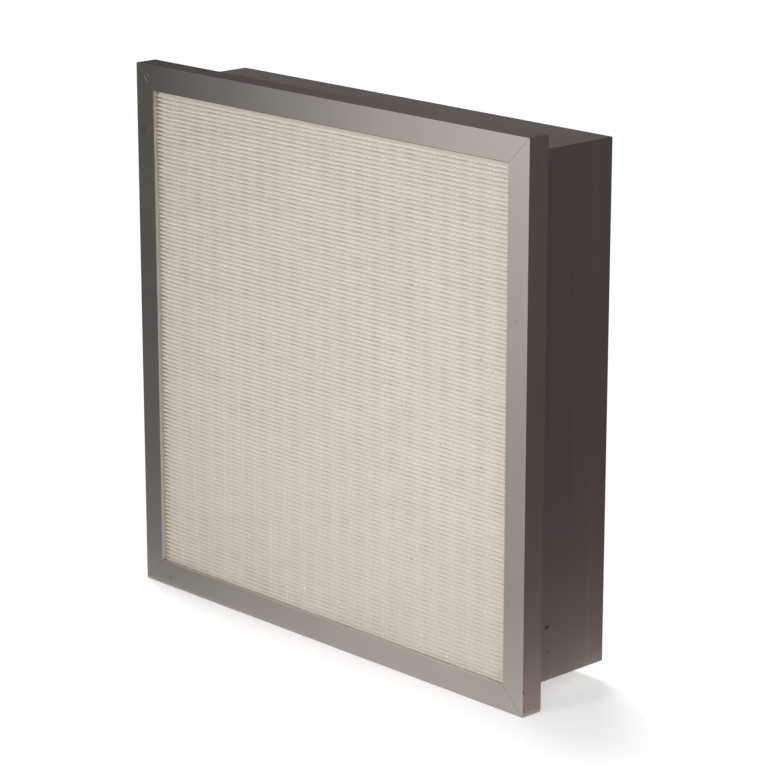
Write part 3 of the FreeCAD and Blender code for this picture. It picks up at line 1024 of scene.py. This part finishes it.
# %% [markdown]
# ## The studio
# The filter stands on a pale floor. A soft light from above makes the shadow. A soft box at the
# front right lights the paper from about where it is looked at, so that the valleys stay pale, and
# falls off to the left. A small one low in front lifts the bottom. Metal shows what it mirrors, so,
# as in a photographer's studio, graded cards stand close round the filter. They shade the mirror
# image only: the left part of the face, the side and the top turn dark, and the right part of the
# face stays bright.

# %% Floor
FLOOR_SIZE = 30
FLOOR_GAP = 0.2 * MM
FLOOR_TONE = paint(250, 250, 250)
FLOOR_LIFT = 0.4


def seen_rays(tree):
    """1 for rays that show a thing itself or its mirror image, and 0 for rays that light others."""
    rays = add(tree, "ShaderNodeLightPath").outputs
    direct = {0: rays["Is Camera Ray"], 1: rays["Is Glossy Ray"]}
    seen = add(tree, "ShaderNodeMath", direct, operation="MAXIMUM").outputs["Value"]
    both = {0: seen, 1: rays["Is Transmission Ray"]}
    return add(tree, "ShaderNodeMath", both, operation="MAXIMUM").outputs["Value"]


def stage_piece(name, bm, finish):
    """An object of the studio, which isn't part of the filter."""
    mesh = bpy.data.meshes.new(name)
    bm.to_mesh(mesh)
    bm.free()
    mesh.materials.append(finish)
    made = bpy.data.objects.new(name, mesh)
    bpy.context.scene.collection.objects.link(made)
    return made


def floor_paper():
    finish, tree, shader = new_finish("floor_paper", Roughness=1, Base_Color=FLOOR_TONE)
    shader.inputs["Specular IOR Level"].default_value = 0
    shader.inputs["Emission Color"].default_value = (1, 1, 1, 1)
    lift = ranged(tree, seen_rays(tree), 0, 1, 0, FLOOR_LIFT, smooth=False)
    tree.links.new(lift, shader.inputs["Emission Strength"])
    return finish


floor_height = cad_box[0].z - FLOOR_GAP
floor_bm = bmesh.new()
bmesh.ops.create_grid(floor_bm, x_segments=1, y_segments=1, size=FLOOR_SIZE / 2)
bmesh.ops.translate(floor_bm, vec=(0, 0, floor_height), verts=floor_bm.verts[:])
stage_piece("floor", floor_bm, floor_paper())
print("floor at", floor_height)


# %% Lamps
def place_lamp(name, data, place, target):
    """A lamp that looks at a point and isn't seen in the metal, because the cards are there for that."""
    made = bpy.data.objects.new(name, data)
    made.location = place
    made.rotation_euler = (Vector(target) - Vector(place)).to_track_quat("-Z", "Y").to_euler()
    made.visible_glossy = False
    made.visible_camera = False
    bpy.context.scene.collection.objects.link(made)


def soft_sky_lamp(name, place, target, angle, power):
    """Even soft light from one side. The power is what a white card facing it would show."""
    data = bpy.data.lights.new(name, "SUN")
    data.angle = math.radians(angle)
    data.energy = power * math.pi
    print(name, power)
    place_lamp(name, data, place, target)


def soft_box(name, place, target, size, power):
    """A square lamp near the filter, so that its light falls off across the paper."""
    data = bpy.data.lights.new(name, "AREA")
    data.size = size
    data.energy = power
    print(name, power, "W")
    place_lamp(name, data, place, target)


CENTRE = (0, 0, 0.3)
NEAR_BOTTOM = (0, 0, 0.1)
soft_sky_lamp("overhead_lamp", place=(-1.1, 0.5, 3.2), target=CENTRE, angle=22, power=0.42)
soft_box("near_lamp", place=(1.12, -1.1, 0.85), target=CENTRE, size=0.8, power=6.9)
soft_box("low_lamp", place=(0.1, -1.0, 0.2), target=NEAR_BOTTOM, size=0.2, power=4.0)


# %% A card for the mirror image
def between(tree, share, first, second):
    """A tone between two tones."""
    inputs = {"Factor": share, "A": first, "B": second}
    return add(tree, "ShaderNodeMix", inputs, data_type="FLOAT").outputs["Result"]


def card(name, low, high, shift, tint, tone_of):
    """A thin card between two corners, seen only in the metal. The shift leads from a place on the
    card to the place on the metal that mirrors it, and tone_of gives the tone for that place."""
    bm = bmesh.new()
    low, high = Vector(low), Vector(high)
    made = bmesh.ops.create_cube(bm, size=1)["verts"]
    bmesh.ops.scale(bm, vec=high - low, verts=made)
    bmesh.ops.translate(bm, vec=(high + low) / 2, verts=made)
    finish = bpy.data.materials.new(name)
    finish.use_nodes = True
    tree = finish.node_tree
    tree.nodes.remove(tree.nodes["Principled BSDF"])
    metal_place = add(tree, "ShaderNodeVectorMath", {0: object_place(tree), 1: shift}).outputs["Vector"]
    glow = add(tree, "ShaderNodeEmission", {"Color": tint, "Strength": tone_of(tree, metal_place)})
    tree.links.new(glow.outputs["Emission"], tree.nodes["Material Output"].inputs["Surface"])
    made = stage_piece(name, bm, finish)
    made.visible_camera = False
    made.visible_diffuse = False
    made.visible_transmission = False
    made.visible_shadow = False
    print(name, "from", low[:], "to", high[:])


# %% Card before the face
# Tones that the metal should mirror, each with its place along X or Z in metres
ACROSS = (-0.3, 0.3)
UPWARD = (0, 0.6)
TOP_RAIL = ((-0.3, 0.19), (-0.26, 0.215), (-0.15, 0.36), (-0.03, 0.57), (0.1, 0.82), (0.22, 1.01),
            (0.3, 1.1))
BOTTOM_RAIL = ((-0.3, 0.47), (-0.26, 0.49), (-0.12, 0.66), (0.03, 0.81), (0.16, 0.87), (0.25, 0.9),
               (0.3, 0.92))
# How much of the bottom rail's tone there is at each height, and how the right rail dims in its middle
LOW_SHARE = ((0.0, 1.0), (0.014, 1.0), (0.04, 0.7), (0.15, 0.24), (0.3, 0.03), (0.6, 0.0))
RIGHT_DIP = ((0.0, 1.0), (0.014, 1.0), (0.04, 0.84), (0.12, 0.67), (0.25, 0.66), (0.4, 0.78),
             (0.54, 0.93), (0.6, 1.0))
RIGHT_FROM = (0.2, 0.26)


def face_tone(tree, place):
    x_place, z_place = axis(tree, place, "X"), axis(tree, place, "Z")
    low = graded(tree, z_place, *UPWARD, LOW_SHARE)
    upper, lower = graded(tree, x_place, *ACROSS, TOP_RAIL), graded(tree, x_place, *ACROSS, BOTTOM_RAIL)
    right = ranged(tree, x_place, *RIGHT_FROM)
    dip = between(tree, right, 1.0, graded(tree, z_place, *UPWARD, RIGHT_DIP))
    return times(tree, between(tree, low, upper, lower), dip)


card("face_card", low=(-1.2, -0.075, 0), high=(0.6, -0.0745, 0.9), shift=(0.0047, 0.0045, 0.0018),
     tint=(1, 1, 1.02, 1), tone_of=face_tone)

# %% Card beside the right-hand side
HEADER_SIDE = ((0.0, 0.45), (0.02, 0.43), (0.048, 0.35), (0.088, 0.235), (0.15, 0.155), (0.25, 0.126),
               (0.6, 0.13))
BODY_SIDE = ((0.0, 0.27), (0.04, 0.225), (0.08, 0.165), (0.15, 0.12), (0.25, 0.1), (0.6, 0.1))
# Along Y: where the tone of the body begins and is full
BODY_FROM = (-0.058, -0.046)


def side_tone(tree, place):
    z_place = axis(tree, place, "Z")
    header, body = graded(tree, z_place, *UPWARD, HEADER_SIDE), graded(tree, z_place, *UPWARD, BODY_SIDE)
    return between(tree, ranged(tree, axis(tree, place, "Y"), *BODY_FROM), header, body)


card("side_card", low=(0.301, -0.10, 0), high=(0.3015, 0.6, 0.9), shift=(-0.025, -0.0229, 0.0093),
     tint=(1.12, 0.935, 0.935, 1), tone_of=side_tone)

# %% Card over the top
HEADER_TOP = ((-0.3, 0.115), (-0.25, 0.122), (-0.1, 0.14), (0.05, 0.168), (0.2, 0.207), (0.28, 0.18),
              (0.3, 0.17))
BODY_TOP = 0.2
BODY_TOP_FROM = (-0.03, 0)


def top_tone(tree, place):
    header = graded(tree, axis(tree, place, "X"), *ACROSS, HEADER_TOP)
    return between(tree, ranged(tree, axis(tree, place, "Y"), *BODY_TOP_FROM), header, BODY_TOP)


card("top_card", low=(-1.0, -0.15, 0.610), high=(0.4, 0.8, 0.611), shift=(0.047, -0.044, -0.018),
     tint=(1.06, 0.945, 0.905, 1), tone_of=top_tone)

# %% Surroundings
WORLD_LIGHT = 0.28
world = bpy.context.scene.world or bpy.data.worlds.new("studio")
bpy.context.scene.world = world
world.use_nodes = True
world_tree = world.node_tree
for node in list(world_tree.nodes):
    world_tree.nodes.remove(node)
strength = ranged(world_tree, seen_rays(world_tree), 0, 1, WORLD_LIGHT, 1.0, smooth=False)
sky = add(world_tree, "ShaderNodeBackground", {"Color": (1, 1, 1, 1), "Strength": strength})
add(world_tree, "ShaderNodeOutputWorld", {"Surface": sky.outputs["Background"]})

bpy.context.scene.view_settings.view_transform = "Standard"
print("surroundings ready")
